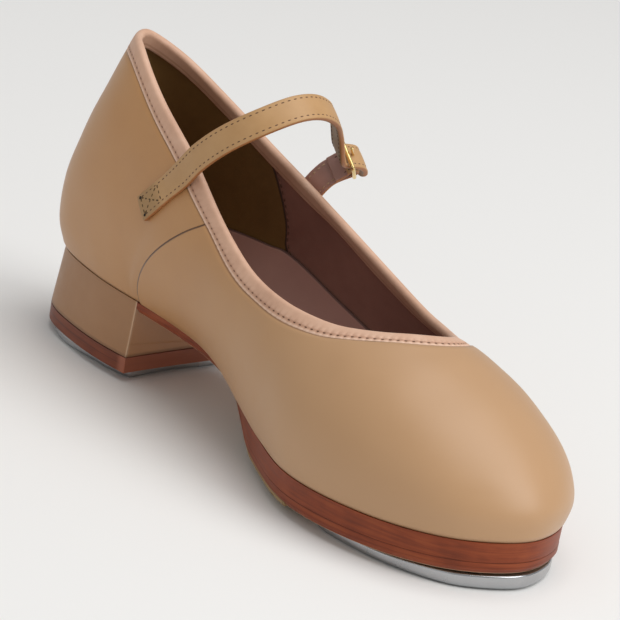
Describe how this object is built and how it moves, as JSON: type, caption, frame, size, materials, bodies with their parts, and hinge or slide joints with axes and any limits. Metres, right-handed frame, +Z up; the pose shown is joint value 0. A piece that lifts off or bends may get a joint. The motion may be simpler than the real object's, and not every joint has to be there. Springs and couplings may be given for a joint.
{
  "type": "tap shoe",
  "caption": "Left low-heeled leather tap shoe with a bound collar, instep strap and buckle, and metal taps screwed under toe and heel.",
  "frame": {"origin": "centre of the footprint of the bounding box, on the ground under the taps", "axes": "+X from the heel to the toe, +Y to the outer side of the foot, +Z up"},
  "size_m": [0.2432, 0.087, 0.1122],
  "materials": {
    "tan_leather": "smooth satin",
    "binding_leather": "smooth matte",
    "lining_leather": "matte",
    "stained_edge": "stained and waxed edge",
    "sole_leather": "matte, with stained edge",
    "pad_rubber": "matte, woven texture",
    "heel_cover": "smooth satin",
    "lift_leather": "stained",
    "tap_metal": "polished satin",
    "strap_leather": "smooth satin",
    "buckle_metal": "polished",
    "screw_metal": "nickel plated"
  },
  "bodies": {
    "root": {"upper": "tan_leather", "collar_binding": "binding_leather", "insole": "lining_leather", "forepart_platform": "stained_edge", "outsole": "sole_leather", "rubber_pad": "pad_rubber", "heel_block": "heel_cover", "heel_lift": "lift_leather", "toe_tap": "tap_metal", "heel_tap": "tap_metal", "instep_strap": "strap_leather", "buckle_strap": "strap_leather", "buckle_frame": "buckle_metal", "buckle_prong": "buckle_metal", "toe_tap_screw_1": "screw_metal", "toe_tap_screw_2": "screw_metal", "toe_tap_screw_3": "screw_metal", "heel_tap_screw_1": "screw_metal", "heel_tap_screw_2": "screw_metal", "heel_tap_screw_3": "screw_metal"}
  },
  "joints": []
}
